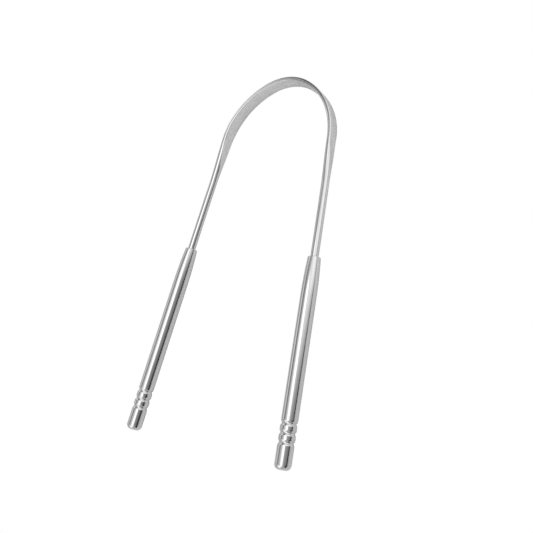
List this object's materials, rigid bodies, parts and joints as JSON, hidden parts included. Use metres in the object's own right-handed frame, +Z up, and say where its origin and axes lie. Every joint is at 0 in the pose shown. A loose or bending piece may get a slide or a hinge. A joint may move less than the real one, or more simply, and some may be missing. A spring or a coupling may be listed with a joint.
{
  "type": "tongue scraper",
  "caption": "U-shaped tongue scraper: a spring steel wire bow rolled flat at its crown, with a necked and grooved tubular steel handle on each end.",
  "frame": {"origin": "middle of the outline, on the surface that the scraper lies on", "axes": "+Y along the scraper towards the crown of the bow, +X across it, +Z up, square to the plane of the bow and along the width of the blade"},
  "size_m": [0.0736, 0.1466, 0.0058],
  "materials": {
    "satin_steel": "satin, rolled strip and drawn wire",
    "polished_steel": "bright, polished along its length"
  },
  "bodies": {
    "root": {"bow": "satin_steel", "left_handle": "polished_steel", "right_handle": "polished_steel"}
  },
  "joints": []
}
